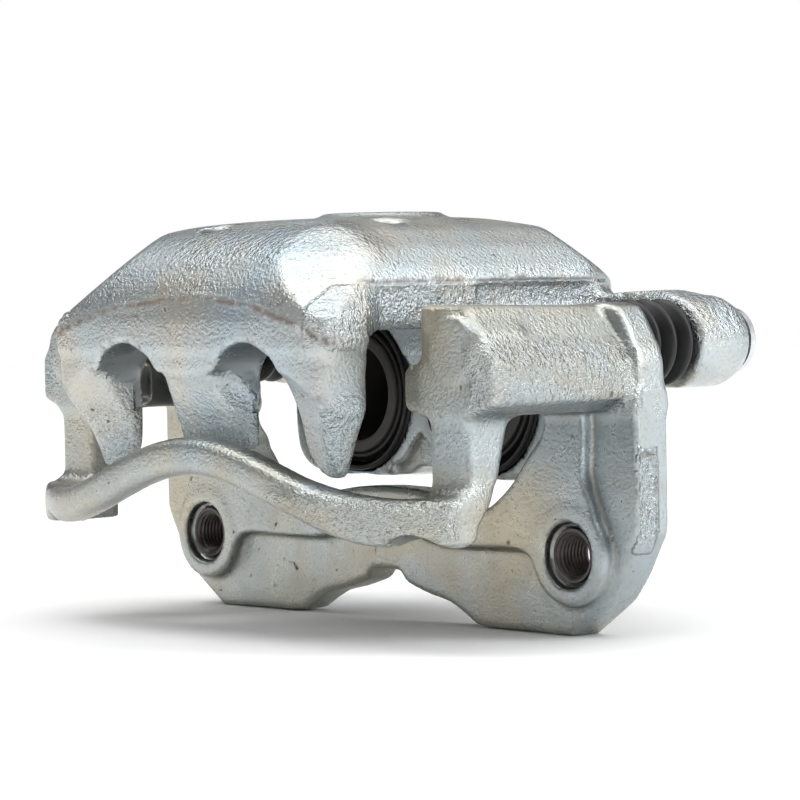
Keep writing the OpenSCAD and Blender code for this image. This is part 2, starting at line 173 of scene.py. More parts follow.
def skin(field, F, name, relax=2):
    """Surface nets over the zero level of F, then drawn onto that level."""
    xs, ys, zs = (np.asarray(v, float) for v in (field.xs, field.ys, field.zs))
    F = np.broadcast_to(F, (len(xs), len(ys), len(zs))).astype(F4)
    s = F < 0
    n = np.zeros(tuple(k - 1 for k in F.shape), np.int8)
    for a in (0, 1):
        for b in (0, 1):
            for c in (0, 1):
                n += s[a:F.shape[0] - 1 + a, b:F.shape[1] - 1 + b, c:F.shape[2] - 1 + c]
    act = (n > 0) & (n < 8)
    I, J, K = np.nonzero(act)
    idx = np.full(act.shape, -1, np.int64)
    idx[act] = np.arange(len(I))
    P = np.zeros((len(I), 3))
    W = np.zeros(len(I))
    for ax in range(3):
        o1, o2 = [k for k in range(3) if k != ax]
        for a in (0, 1):
            for b in (0, 1):
                lo = [I.copy(), J.copy(), K.copy()]
                lo[o1] = lo[o1] + a
                lo[o2] = lo[o2] + b
                hi = [v.copy() for v in lo]
                hi[ax] = hi[ax] + 1
                fa, fb = F[tuple(lo)], F[tuple(hi)]
                m = (fa < 0) != (fb < 0)
                t = np.where(m, fa / np.where(m, fa - fb, 1), 0)
                pl = np.stack([xs[lo[0]], ys[lo[1]], zs[lo[2]]], 1)
                ph = np.stack([xs[hi[0]], ys[hi[1]], zs[hi[2]]], 1)
                P[m] += (pl + (ph - pl) * t[:, None])[m]
                W[m] += 1
    P /= W[:, None]
    quads = []
    for ax in range(3):
        o1, o2 = [(1, 2), (2, 0), (0, 1)][ax]
        sl = [slice(None)] * 3
        sh = [slice(None)] * 3
        sl[ax], sh[ax] = slice(0, -1), slice(1, None)
        change = s[tuple(sl)] != s[tuple(sh)]
        g = list(np.nonzero(change))
        ok = np.ones(len(g[0]), bool)
        for o in (o1, o2):
            ok &= (g[o] > 0) & (g[o] < F.shape[o] - 1)
        g = [v[ok] for v in g]
        ring = []
        for a, b in ((1, 1), (0, 1), (0, 0), (1, 0)):
            c = [v.copy() for v in g]
            c[o1] = c[o1] - a
            c[o2] = c[o2] - b
            ring.append(idx[tuple(c)])
        q = np.stack(ring, 1)
        flip = ~s[tuple(g)]
        q[flip] = q[flip][:, ::-1]
        quads.append(q)
    Q = np.concatenate(quads)
    G = np.gradient(F.astype(F4), xs, ys, zs)

    def sample(A, P):
        out = 0
        cells = []
        for v, line in ((P[:, 0], xs), (P[:, 1], ys), (P[:, 2], zs)):
            i = np.clip(np.searchsorted(line, v) - 1, 0, len(line) - 2)
            cells.append((i, rise((v - line[i]) / (line[i + 1] - line[i]))))
        (i, u), (j, v), (k, w) = cells
        for a in (0, 1):
            for b in (0, 1):
                for c in (0, 1):
                    out = out + A[i + a, j + b, k + c] * (
                        (u if a else 1 - u) * (v if b else 1 - v) * (w if c else 1 - w))
        return out

    def draw_on(P, times):
        for _ in range(times):
            d = sample(F, P)
            g = np.stack([sample(A, P) for A in G], 1)
            step = d / np.maximum((g ** 2).sum(1), 0.15)
            step = np.clip(step, -0.4, 0.4)
            P = P - g * step[:, None]
        return P

    P = draw_on(P, 2)
    edges = np.concatenate([Q[:, [0, 1]], Q[:, [1, 2]], Q[:, [2, 3]], Q[:, [3, 0]]])
    for _ in range(relax):
        acc = np.zeros_like(P)
        cnt = np.zeros(len(P))
        for a, b in ((0, 1), (1, 0)):
            np.add.at(acc, edges[:, a], P[edges[:, b]])
            np.add.at(cnt, edges[:, a], 1)
        P = P + 0.45 * (acc / np.maximum(cnt, 1)[:, None] - P)
        P = draw_on(P, 1)
    g = np.stack([sample(A, P) for A in G], 1)
    # How sharply the surface turns: above 0 on an outer edge, below 0 in a corner
    acc = np.zeros_like(P)
    cnt = np.zeros(len(P))
    for a, b in ((0, 1), (1, 0)):
        np.add.at(acc, edges[:, a], P[edges[:, b]])
        np.add.at(cnt, edges[:, a], 1)
    gn = g / np.maximum(np.linalg.norm(g, axis=1), 1e-6)[:, None]
    bend = ((P - acc / np.maximum(cnt, 1)[:, None]) * gn).sum(1)
    for _ in range(2):
        acc = np.zeros(len(P))
        for a, b in ((0, 1), (1, 0)):
            np.add.at(acc, edges[:, a], bend[edges[:, b]])
        bend = 0.5 * bend + 0.5 * acc / np.maximum(cnt, 1)
    mesh = bpy.data.meshes.new(name)
    mesh.vertices.add(len(P))
    mesh.vertices.foreach_set("co", (P * MM).astype(F4).ravel())
    mesh.loops.add(len(Q) * 4)
    mesh.loops.foreach_set("vertex_index", Q.astype(np.int32).ravel())
    mesh.polygons.add(len(Q))
    mesh.polygons.foreach_set("loop_start", np.arange(0, len(Q) * 4, 4, dtype=np.int32))
    mesh.polygons.foreach_set("loop_total", np.full(len(Q), 4, np.int32))
    mesh.polygons.foreach_set("use_smooth", np.ones(len(Q), bool))
    mesh.update(calc_edges=True)
    at = mesh.attributes.new("bend", "FLOAT", "POINT")
    at.data.foreach_set("value", bend.astype(F4))
    ob = bpy.data.objects.new(name, mesh)
    bpy.context.scene.collection.objects.link(ob)
    print(name, "faces", len(Q))
    return ob, P, gn


def rise(v):
    """v held between 0 and 1."""
    return np.clip(v, 0, 1)


def flipped(pts):
    """The mirror image of an outline on the right, for the left."""
    return [(-x, z) for x, z in pts][::-1]


def paint(ob, name, values):
    at = ob.data.attributes.new(name, "FLOAT", "POINT")
    at.data.foreach_set("value", np.asarray(values, F4))


# ------------------------------------------------------------------ bracket
BOLT, PIN_X, PIN_Z = 75.0, 80.0, 54.4
PISTON_X, PISTON_Z = 25.5, 40.7


def bracket_casting():
    step = 0.95
    f = Field(axis((-99, 99, step)), axis((-83, -40, step), (-40, -16, step * 1.5), (-16, 3, step * 0.75)),
              axis((-23, 67.5, step)))
    X, Y, Z = f.X, f.Y, f.Z
    A = np.abs(X)
    b = 97.2
    plate = mirrored([
        (0, 15.6), (12, 15.2), (24, 13.4), (30, 11), (36, 9.5), (44, 10.5), (52, 15), (60, 25),
        (67, 32), (67.5, 45), (b, 45), (b, 10), (b - 0.4, 6), (b - 3.2, 1), (b - 6.2, -4.5),
        (b - 11.4, -11.3), (b - 17.4, -15.6), (b - 24, -20), (72, -21.1), (36.6, -21.1),
        (30.6, -17.6), (25, -15), (16.4, -13.3), (8, -10.8), (5.2, -7.5), (0, -7.5)])
    P2 = f.along_y(rounded(plate, 1, 0.15))
    thin = smax(P2, f.slab(-10.5, 0), 2.0)
    panel = blended(smax, 2.0, P2, f.slab(-9.5, 0.9), 62 - A)
    band = mirrored([
        (0, 10), (14, 9.5), (23, 7.2), (36, 8.4), (45, 11), (54, 17.5), (60, 25), (67, 32),
        (67.5, 45), (81, 45), (81.5, 30), (80.5, 20), (84, 12), (88, 1), (84, -10), (75, -13.5),
        (65, -9.5), (61.5, -2), (57, 1), (40, 0.5), (22, 0.6), (12, 4), (0, 5)])
    raised = smax(f.along_y(rounded(band, 2)), f.slab(-14, -8), 1.0)
    boss = smax(smin(f.rod(BOLT, 0, 13.3), f.rod(-BOLT, 0, 13.3), 1), f.slab(-14, 0), 1.6)
    body = blended(smin, 2.0, thin, panel)
    body = smin(body, smin(raised, boss, 0.9), 0.9)
    # Arms across the disc: three facets, a sharp ridge between them and a round underside
    ztop = 65.5 - 0.02 * (Y + 57)
    arm = np.maximum(np.maximum(Z - ztop, 67.2 - A), 37.6 - Z + np.maximum(A - 86, 0) * 0.35)
    arm = smax(arm, (A - 83.5) * 0.80 + (Z - ztop) * 0.60, 0.8)
    arm = smax(arm, A - (93.7 + 0.03 * (Y + 57) - np.maximum(41 - Z, 0) * 0.5), 1.0)
    arm = smax(arm, (A - 92.5) * 0.55 + (37.9 - Z) * 0.85, 3.0)
    arm = smax(arm, f.slab(-57.6, 0.9), 2.4)
    flange = smax(f.along_y(rounded(mirrored([
        (67, 36), (67, 60), (71, 64.6), (84, 65.4), (89.6, 64), (96.6, 52), (97.1, 36)]), 1, 0.12)),
        f.slab(-9.5, 0.9), 1.8)
    flange = np.maximum(flange, 66.4 - A)
    pads = smax(smin(f.rod(PIN_X, PIN_Z, 8.4), f.rod(-PIN_X, PIN_Z, 8.4), 1), f.slab(-58.9, -50), 0.6)
    # Outboard legs with their tabs, and the tie bar that bows out and rises between them
    leg = [(70.4, 30), (70.4, 38.6), (61, 38.6), (61, 50.4), (70.4, 51), (70.4, 60), (88.5, 60),
           (88.5, 47), (86, 40), (84.6, 34), (84.6, 19), (81.5, 12), (70.4, 12)]
    thick = smax(-57.6 - Y, Y - np.interp(Z, [10, 22, 40, 60], [-53.5, -46.5, -42, -42]), 2.0)
    legs = smax(f.along_y(rounded(leg, 1, 0.14)), thick, 2.2)
    legs = smin(legs, smax(f.along_y(rounded(flipped(leg), 1, 0.14)), thick, 2.2), 1)
    arch = 0.5 + 0.5 * np.cos(np.pi * np.minimum(A, 70) / 70)
    slope = np.abs(-7.8 * np.pi / 70 * np.sin(np.pi * np.minimum(A, 70) / 70))
    bz = 11.5 + 15.6 * arch
    by = -58.8 - 17 * (1 - np.minimum(A / 84, 1) ** 3.5)
    lean = np.minimum(17 * 3.5 / 84 * np.minimum(A / 84, 1) ** 2.5, 1.2)
    u = (Z - bz) / np.sqrt(1 + slope ** 2)
    v = (Y - by) / np.sqrt(1 + lean ** 2)
    bar = smax(np.abs(u) - 4.9 - rise((X - 40) / 20) * 1.2, np.abs(v) - 4.5, 4.0)
    bar = smax(bar, A - 84.2, 1.2)
    foot = f.box((68, -62.8, 6.6), (84.4, -50, 16.6), 3.4)
    foot = smax(foot, (X - 77.5) * 0.62 + (8.2 - Z) * 0.78, 5.0)
    foot2 = f.box((-84.6, -62.8, 6.7), (-68, -50, 16.6), 1.4)
    outer = smin(smin(arm, flange, 1.2), legs, 2.6)
    outer = smin(outer, pads, 0.6)
    outer = smin(outer, blended(smin, 3.0, foot, foot2, bar), 4.5)
    body = smin(body, outer, 3.0)
    # Rough hollow down the side of the panel, and the bolt holes, counterbores and pin holes on each side
    for side in (1, -1):
        near, far = sorted((side * 95.9, side * 110))
        body = smax(body, -f.box((near, -9.6, 2), (far, -3.0, 27), 1.5), 0.6)
        body = smax(body, -f.rod(side * BOLT, 0, 6.9), 0.5)
        cb = smax(f.rod(side * BOLT, 0, 8.6), Y + 14 - 2.4, 0.4)
        body = smax(body, -cb, 0.7)
        body = smax(body, -smax(f.rod(side * PIN_X, PIN_Z, 5.6), -51 - Y, 0.3), 0.4)
        body = smax(body, -smax(f.rod(side * PIN_X, PIN_Z, 7.2), -4 - Y, 0.3), 0.8)
    body = smax(body, -f.box((-5.2, -20, -12), (5.2, 5, -8.2), 1.0), 0.8)
    body = np.maximum(body, np.maximum(A - 97.1, -21.1 - Z))
    ob, P, N = skin(f, body, "bracket_casting")
    x, y, z = P.T
    a = np.abs(x)
    machined = (np.hypot(a - BOLT, z) < 13.2) & (y > -0.5)
    machined |= (a > 58) & (a < 72) & (z > 36) & (y < -40) & (N[:, 1] > 0.9)
    machined |= (a < 68.0) & (a > 60) & (z > 33) & (np.abs(N[:, 0]) > 0.8)
    machined |= (np.hypot(a - BOLT, z) < 8.7) & (y < -11)
    paint(ob, "machined", machined.astype(F4))
    # The plate has a finer grain than the arms
    fine = rise((y + 20) / 6)
    paint(ob, "fine", fine)
    coarse = rise((a - 84) / 4) * rise((z - 36) / 3) * rise((57 - z) / 3) * rise((-y - 8) / 3)
    coarse = np.maximum(coarse, rise((a - 92.6) / 1.5) * ((z > 1) & (z < 28) & (y > -10) & (y < -3)))
    coarse = np.maximum(coarse, rise((-y - 60) / 3) * rise((20 - z) / 4) * rise((x - 18) / 8))
    paint(ob, "coarse", coarse)
    paint(ob, "seam", np.zeros(len(P)))
    return ob


# ------------------------------------------------------------------ housing
DIMPLES = ((29, -33, 88.3, 5.2), (-14, -56, 88.0, 5.6))   # x, y, z and radius on the crown


def housing_casting():
    step = 1.08
    f = Field(axis((-94, 94, step)), axis((-83, 52, step)), axis((16, 92.5, step)))
    X, Y, Z = f.X, f.Y, f.Z
    A = np.abs(X)
    h = 58.6
    roof = mirrored([
        (0, 90.0), (14, 89.9), (27, 88.8), (38, 85.5), (47, 80.5), (52, 75.7), (54, 72.2),
        (53.6, 71.4), (53.2, 70), (53.6, 60), (54, 52), (0, 52)])
    crown = f.along_y(rounded(roof, 1, 0.12))
    side = [(-81, 50), (-80.6, 64), (-78, 71), (-73, 78.5), (-65, 84.5), (-53, 88), (-37, 89.6),
            (-14, 90.2), (2, 89.9), (12, 88), (24, 85.6), (32, 82.8), (38, 78), (42, 71.5),
            (44, 64), (44, 50)]
    profile = f.along_x(rounded(side, 2))
    # The roof widens over the fingers
    plan = f.along_z(rounded(mirrored([
        (0, 46), (30, 46), (42, 38), (50, 28), (h - 2, 12), (h, 4), (h, -74), (h - 2.5, -79.4),
        (h - 9, -81), (0, -81)]), 2))
    bridge = blended(smax, 1.5, profile, plan)
    flare = np.interp(Y, [-81, -64, -58, 50], [5.0, 3.0, 0, 0]) * rise((73 - Z) / 8)
    bridge = smax(bridge, crown - flare, 2.2)
    cuts = []
    for direction, reach in ((-48, 102.2), (48, 97.0)):
        c, s = math.cos(math.radians(direction)), math.sin(math.radians(direction))
        cuts.append((A * c + (Y + 14) * s) * 0.6157 + Z * 0.788 - reach)
        bridge = smax(bridge, cuts[-1], 1.2)
    pad = smax(np.sqrt(X ** 2 + (Y + 9) ** 2) - 14.5, Z - 90.7, 1.5)
    bridge = smin(bridge, smax(pad, 80 - Z, 1), 6.0)
    swept = np.sqrt(X ** 2 + (Z + 81.5) ** 2) - 150
    swept = blended(smax, 5.0, swept, f.slab(-66, 3))
    bridge = smax(bridge, -swept, 2.5)
    # Fingers. Jambs flare outboard, fronts fall back in facets towards the tips
    t = np.clip(-66 - Y, 0, 15)
    edge = np.interp(Z, [18, 21.5, 32, 40, 50, 54.3, 55.8, 60, 70],
                     [49.5, 50.7, 54.8, 58.8, 58.2, 57.2, 59.4, 58.8, 58.6])
    fall = np.interp(Z, [28, 33, 40, 47, 60], [0.80, 0.74, 0.50, 0.27, 0.05])
    outside = (A - edge + fall * t) * 0.85
    upper = f.both_planes((38.5, -76.9, 46.4), (-0.28, -0.79, -0.544))
    tongue = f.both_planes((38.5, -70.8, 36), (-0.30, -0.90, -0.27))
    front = smax(smin(upper, tongue, 1.5), -81 - Y, 1.5)
    sides = blended(smax, 2.6, outside, front, Y + 66, 21.4 - Z)
    sides = smax(sides, 33 - A, 1)
    keel = smax(f.both_planes((5.4, -81, 52), (0.215, -0.692, -0.69)), -81 - Y, 1.4)
    tip = smax(np.interp(Z, [10, 31, 36, 51], [-69.6, -69.6, -72.2, -81]) - Y, A - 15.6 + t * 0.5, 1.6)
    middle = smin(smax(keel, A - 16.8, 1.5), tip, 2.2)
    middle = blended(smax, 1.8, middle, Y + 66, 28.6 - Z)
    skirt = blended(smax, 2.5, outside, -81 - Y, Y + 66, 49 - Z, Z - 66)
    fingers = blended(smin, 1.5, sides, smax(middle, A - 17, 1), skirt)
    # The fingers hang below the roof but keep inside its outline; the inset makes room for the blend
    tall = f.along_x(rounded([(-81, 0)] + side[:-1] + [(44, 0)], 1))
    fingers = blended(smax, 1.2, fingers, tall + 0.4, cuts[0] + 0.4, plan + 0.4, Z - 63)
    body = smin(bridge, fingers, 1.6)
    # The windows between the fingers: an arch at the top, wider towards the outboard face
    wide = 9.2 + t * np.interp(Z, [30, 46, 52, 56], [0.40, 0.38, 0.22, 0.05])
    window = np.sqrt((A - 25.2) ** 2 + np.maximum(Z - 46.8, 0) ** 2) - wide
    window = smax(window, f.slab(-90, -60), 1)
    body = smax(body, -window, 1.2)
    # Cylinder block and barrels
    block = mirrored([
        (0, 66), (46, 66), (54, 57), (54, 27), (50.5, 20.5), (43, 17.2), (8, 17.2), (4, 20), (0, 20)])
    blk = smax(f.along_y(rounded(block, 2)), f.slab(3, 34), 2.6)
    barrels = smin(f.rod(PISTON_X, PISTON_Z, 23.5), f.rod(-PISTON_X, PISTON_Z, 23.5), 5)
    barrels = smax(barrels, f.slab(20, 50), 6.0)
    back_web = f.box((-26, 30, 31.5), (26, 48.5, 50), 3)
    inlet = smax(f.rod(0, PISTON_Z, 10), f.slab(30, 50), 1.0)
    blk = blended(smin, 4.0, blk, barrels, back_web, inlet)
    # Bleeder boss
    ca, sa = math.cos(math.radians(35)), math.sin(math.radians(35))
    by, bz = Y - 40, Z - 58
    along = by * ca + bz * sa
    across = np.sqrt((X + PISTON_X) ** 2 + (-by * sa + bz * ca) ** 2)
    nipple = smax(across - 8, np.abs(along - 3) - 10, 1.0)
    body = smin(body, blk, 4.0)
    body = smin(body, nipple, 4.0)
    # Ears that carry the guide pins
    ear = smin(f.rod(PIN_X, PIN_Z, 12.2), f.rod(-PIN_X, PIN_Z, 12.2), 1)
    ear = ear + np.maximum(Y - 35.5, 0) * 0.40 + np.maximum(Y - 39.5, 0) * 0.5
    ear = smax(ear, f.slab(20, 42.5), 1.8)
    ear_web = [(44, 46), (44, 66.5), (60, 67.8), (75.5, 68.2), (80, 66.5), (82, 54), (76, 42.4), (66, 43)]
    web = smin(f.along_y(rounded(ear_web, 1, 0.1)), f.along_y(rounded(flipped(ear_web), 1, 0.1)), 1)
    web = smax(web, f.slab(22, 31), 1.4)
    body = smin(body, smin(ear, web, 3.0), 4.0)
    # Recess along the end faces below the roof's edge
    for low_x, high_x in ((52.4, 60), (-60, -52.4)):
        recess = f.box((low_x, -24, 65), (high_x, 18.5, 70.8), 1.0)
        body = smax(body, -smax(recess, -(A - 40), 1), 0.8)
    # Dimples left by the casting on the crown
    for px, py, pz, r in DIMPLES:
        body = smax(body, -(np.sqrt((X - px) ** 2 + (Y - py) ** 2 + ((Z - pz) * 2.6) ** 2) - r), 1.0)
    # Parting line proud of the outboard face
    line = np.interp(X, [-56, -53, -31, 4, 29, 48, 56], [58, 60, 66, 69, 66, 61, 57])
    ridge = rise(1 - np.abs(Z - line) / 1.0) * (Y < -60)
    body = body - 0.35 * ridge
    for sx in (PISTON_X, -PISTON_X):
        body = smax(body, -smax(f.rod(sx, PISTON_Z, 17.05), f.slab(-10, 44.5), 0.3), 0.3)
        body = smax(body, -smax(f.rod(sx, PISTON_Z, 22.4), f.slab(-10, 11), 0.3), 0.7)
    for sx in (PIN_X, -PIN_X):
        body = smax(body, -f.rod(sx, PIN_Z, 4.6), 0.3)
        body = smax(body, -smax(f.rod(sx, PIN_Z, 7.2), Y - 25, 0.3), 0.6)
    body = smax(body, -smax(f.rod(0, PISTON_Z, 4.5), 44.5 - Y, 0.3), 0.3)
    plug = np.sqrt((Y - 46.6) ** 2 + (Z - PISTON_Z) ** 2) - 3
    body = smax(body, -smax(plug, X + 41, 0.3), 0.3)
    body = smax(body, -smax(across - 4.5, 3 - along, 0.3), 0.3)
    # Hollow between the boots' rings on the block's face
    low = mirrored([(0, 30), (5, 25), (8, 21.5), (12, 20.5), (12, 16), (0, 16)])
    body = smax(body, -smax(f.along_y(rounded(low, 1)), f.slab(-2, 6.5), 0.5), 1.0)
    body = np.maximum(body, np.maximum(-80.9 - Y, Z - 90.7))
    ob, P, N = skin(f, body, "housing_casting")
    x, y, z = P.T
    a = np.abs(x)
    machined = (np.abs(y + 66) < 0.5) & (N[:, 1] > 0.9)
    machined |= (np.abs(y - 3) < 0.6) & (N[:, 1] < -0.9) & (np.hypot(a - PISTON_X, z - PISTON_Z) < 27.5)
    machined |= (np.hypot(a - 25.2, z - 46.8) < 15.5) & (z > 39) & (y < -65) & (np.abs(N[:, 1]) < 0.35)
    machined |= (np.hypot(a - PIN_X, z - PIN_Z) < 9.6) & (y > 41.5)
    for px, py, pz, r in DIMPLES:
        machined |= (np.hypot(x - px, y - py) < r * 0.9) & (z > 80)
    paint(ob, "machined", machined.astype(F4))
    fine = np.zeros(len(P))
    paint(ob, "fine", fine)
    coarse = rise((46 - z) / 8) * rise((-y - 60) / 4)
    coarse = np.maximum(coarse, 0.7 * ((a > 50) & (z > 55) & (z < 71)))
    crest = rise((-y - 46) / 8) * rise((z - 76) / 5) * rise((x + 30) / 30)
    coarse = np.maximum(coarse, 0.9 * crest)
    paint(ob, "coarse", coarse * (1 - machined))
    lz = np.interp(x, [-56, -53, -31, 4, 29, 48, 56], [58, 60, 66, 69, 66, 61, 57])
    seam = rise(1.3 - np.abs(z - lz) / 1.1) * (y < -68) * (N[:, 1] < -0.3)
    ledge = rise(1 - np.abs(z - 71.8) / 0.7) * (a > 52.5) * (np.abs(y + 14) < 50)
    seam = np.maximum(seam, ledge * 0.9)
    paint(ob, "seam", seam)
    return ob


# ------------------------------------------------------------------ turned and other pieces
def turned(name, pts, x, z, segments=96, smooth_angle=32):
    """Lathe of (radius, along) points about an axis along Y through x and z, in mm."""
    prof = np.array(pts, float)
    n = len(prof)
    ang = np.linspace(0, 2 * np.pi, segments, endpoint=False)
    r, y = prof[:, 0], prof[:, 1]
    V = np.stack([r[None] * np.cos(ang)[:, None], np.repeat(y[None], segments, 0),
                  r[None] * np.sin(ang)[:, None]], 2).reshape(-1, 3)
    faces = []
    for i in range(segments):
        j = (i + 1) % segments
        for k in range(n):
            m = (k + 1) % n
            q = [i * n + k, i * n + m, j * n + m, j * n + k]
            faces.append(q)
    mesh = bpy.data.meshes.new(name)
    mesh.from_pydata((V * MM).tolist(), [], faces)
    mesh.update()
    ob = bpy.data.objects.new(name, mesh)
    bpy.context.scene.collection.objects.link(ob)
    tidy(ob, smooth_angle)
    mesh.transform(Matrix.Translation((x * MM, 0, z * MM)))
    return ob


def tidy(ob, angle=32):
    bm = bmesh.new()
    bm.from_mesh(ob.data)
    bmesh.ops.remove_doubles(bm, verts=bm.verts, dist=1e-7)
    bmesh.ops.dissolve_degenerate(bm, dist=1e-7, edges=bm.edges)
    bmesh.ops.recalc_face_normals(bm, faces=bm.faces)
    limit = math.radians(angle)
    for f in bm.faces:
        f.smooth = True
    for e in bm.edges:
        if len(e.link_faces) == 2 and e.calc_face_angle(0) > limit:
            e.smooth = False
    bm.to_mesh(ob.data)
    bm.free()


def arc(cx, cy, r, a0, a1, n=6):
    return [(cx + r * math.cos(math.radians(a0 + (a1 - a0) * i / n)),
             cy + r * math.sin(math.radians(a0 + (a1 - a0) * i / n))) for i in range(n + 1)]


def thread_liner(name, x, z, r_major, r_minor, pitch, y0, y1, outer):
    """A real single-start thread: the wall's radius follows the helix."""
    seg = 96
    rows = int((y1 - y0) / pitch * 10)
    ys = np.linspace(y0, y1, rows + 1)
    ang = np.linspace(0, 2 * np.pi, seg, endpoint=False)
    phase = ((ys[None] - y0) / pitch + ang[:, None] / (2 * np.pi)) % 1.0
    tri = 1 - np.abs(2 * phase - 1)
    r = r_minor + (r_major - r_minor) * rise(tri * 1.25 - 0.1)
    start = rise((ys - y0) / 1.0) * rise((y1 - ys) / 1.0)
    r = r + (r_major - r) * (1 - start[None])
    inner = np.stack([r * np.cos(ang)[:, None], np.repeat(ys[None], seg, 0), r * np.sin(ang)[:, None]], 2)
    n = rows + 1
    V = inner.reshape(-1, 3)
    ring = np.stack([outer * np.cos(ang), np.full(seg, y0), outer * np.sin(ang)], 1)
    ring2 = ring.copy()
    ring2[:, 1] = y1
    V = np.concatenate([V, ring, ring2])
    faces = []
    base = seg * n
    for i in range(seg):
        j = (i + 1) % seg
        for k in range(rows):
            faces.append([i * n + k, i * n + k + 1, j * n + k + 1, j * n + k])
        faces.append([base + i, i * n, j * n, base + j])
        faces.append([i * n + rows, base + seg + i, base + seg + j, j * n + rows])
        faces.append([base + seg + i, base + i, base + j, base + seg + j])
    mesh = bpy.data.meshes.new(name)
    mesh.from_pydata((V * MM).tolist(), [], faces)
    ob = bpy.data.objects.new(name, mesh)
    bpy.context.scene.collection.objects.link(ob)
    tidy(ob, 60)
    mesh.transform(Matrix.Translation((x * MM, 0, z * MM)))
    return ob


# ------------------------------------------------------------------ materials
def material(name):
    m = bpy.data.materials.new(name)
    m.use_nodes = True
    t = m.node_tree
    t.nodes.clear()
    out = t.nodes.new("ShaderNodeOutputMaterial")
    bsdf = t.nodes.new("ShaderNodeBsdfPrincipled")
    t.links.new(bsdf.outputs[0], out.inputs[0])
    return m, t, bsdf


def node(t, kind, **inputs):
    n = t.nodes.new(kind)
    for k, v in inputs.items():
        key = k.replace("_", " ")
        if key in n.inputs:
            n.inputs[key].default_value = v
        else:
            setattr(n, k, v)
    return n


def noise(t, where, scale, detail=3, rough=0.55, distortion=0.0):
    n = node(t, "ShaderNodeTexNoise", Scale=scale, Detail=detail, Roughness=rough, Distortion=distortion)
    t.links.new(where, n.inputs["Vector"])
    return n.outputs["Fac"]


def ramp(t, fac, stops):
    """Colours by position, as (position, (red, green, blue)) stops."""
    n = t.nodes.new("ShaderNodeValToRGB")
    while len(n.color_ramp.elements) < len(stops):
        n.color_ramp.elements.new(0.5)
    for e, (p, c) in zip(n.color_ramp.elements, stops):
        e.position = p
        e.color = (*c, 1)
    t.links.new(fac, n.inputs[0])
    return n.outputs[0]


def math_(t, op, a, b=0.0, clamp=False):
    """One sum of two sockets or numbers."""
    n = t.nodes.new("ShaderNodeMath")
    n.operation = op
    n.use_clamp = clamp
    for i, v in enumerate((a, b)):
        if isinstance(v, (int, float)):
            n.inputs[i].default_value = v
        else:
            t.links.new(v, n.inputs[i])
    return n.outputs[0]


def mix(t, fac, a, b):
    """Colour a where fac is 0, colour b where it is 1."""
    n = t.nodes.new("ShaderNodeMix")
    n.data_type = "RGBA"
    for sock, v in ((n.inputs[0], fac), (n.inputs[6], a), (n.inputs[7], b)):
        if isinstance(v, (int, float)):
            sock.default_value = v
        elif isinstance(v, tuple):
            sock.default_value = (*v, 1)
        else:
            t.links.new(v, sock)
    return n.outputs[2]


def attr(t, name):
    n = t.nodes.new("ShaderNodeAttribute")
    n.attribute_name = name
    return n.outputs["Fac"]


def grey(t, fac, lo, hi):
    n = t.nodes.new("ShaderNodeMapRange")
    n.inputs["From Min"].default_value = lo
    n.inputs["From Max"].default_value = hi
    t.links.new(fac, n.inputs["Value"])
    return n.outputs[0]


